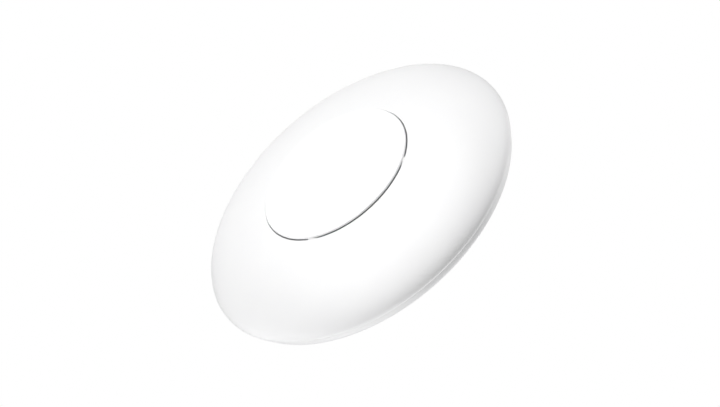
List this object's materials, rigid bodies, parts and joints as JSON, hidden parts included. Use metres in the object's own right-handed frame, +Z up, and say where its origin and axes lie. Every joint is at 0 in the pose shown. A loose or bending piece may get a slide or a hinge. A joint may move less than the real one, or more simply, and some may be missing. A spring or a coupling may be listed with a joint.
{
  "type": "concealed pendent fire sprinkler head",
  "caption": "Ceiling sprinkler head hidden by a round cover plate in a domed white escutcheon; the cover and deflector drop, and the shell pulls off.",
  "frame": {"origin": "on the sprinkler's axis, in the plane where the base ring's rear face meets the ceiling", "axes": "+Z points up into the ceiling, out of the inlet thread; the cover plate faces -Z; +X passes through a guide pin"},
  "size_m": [0.1788, 0.1788, 0.0675],
  "materials": {
    "white_plastic": "satin moulded",
    "white_paint": "satin powder coat on steel",
    "gasket_rubber": "moulded EPDM",
    "zinc_steel": "zinc plated",
    "spring_steel": "bright stainless",
    "brass": "cast and machined",
    "copper_alloy": "machined bronze",
    "nickel": "nickel spring alloy",
    "solder": "dull fusible alloy",
    "red_glass": "glass bulb with red liquid"
  },
  "bodies": {
    "base": {"base_ring": "white_plastic", "ceiling_gasket": "gasket_rubber", "ceiling_screw_1": "zinc_steel", "ceiling_screw_2": "zinc_steel", "ceiling_screw_3": "zinc_steel", "screw_washer_1": "zinc_steel", "screw_washer_2": "zinc_steel", "screw_washer_3": "zinc_steel", "shell_clip_1": "spring_steel", "shell_clip_2": "spring_steel", "shell_clip_3": "spring_steel", "shell_clip_4": "spring_steel", "sprinkler_frame": "brass", "load_screw": "brass", "glass_bulb": "red_glass", "seat_cap": "copper_alloy", "disc_spring_seal": "nickel", "support_cup": "zinc_steel", "cup_retaining_ring": "spring_steel"},
    "shell": {"domed_shell": "white_plastic"},
    "retainer": {"cover_retainer": "zinc_steel", "ejector_spring_1": "spring_steel", "ejector_spring_2": "spring_steel", "ejector_spring_3": "spring_steel"},
    "cover": {"cover_plate": "white_paint", "solder_joint_1": "solder", "solder_joint_2": "solder", "solder_joint_3": "solder"},
    "deflector_set": {"deflector": "brass", "guide_pin_1": "spring_steel", "guide_pin_2": "spring_steel", "pin_stop_1": "spring_steel", "pin_stop_2": "spring_steel"}
  },
  "joints": [
    {"name": "shell_pull", "type": "slide", "parent": "base", "child": "shell", "axis": [0, 0, -1], "range_m": [0, 0.025]},
    {"name": "cover_adjust", "type": "slide", "parent": "base", "child": "retainer", "axis": [0, 0, -1], "range_m": [0, 0.006]},
    {"name": "cover_release", "type": "slide", "parent": "retainer", "child": "cover", "axis": [0, 0, -1], "range_m": [0, 0.06]},
    {"name": "deflector_drop", "type": "slide", "parent": "base", "child": "deflector_set", "axis": [0, 0, -1], "range_m": [0, 0.016]}
  ],
  "couplings": [
    {"joint": "deflector_drop", "follows": "cover_release", "ratio": 0.26666}
  ]
}
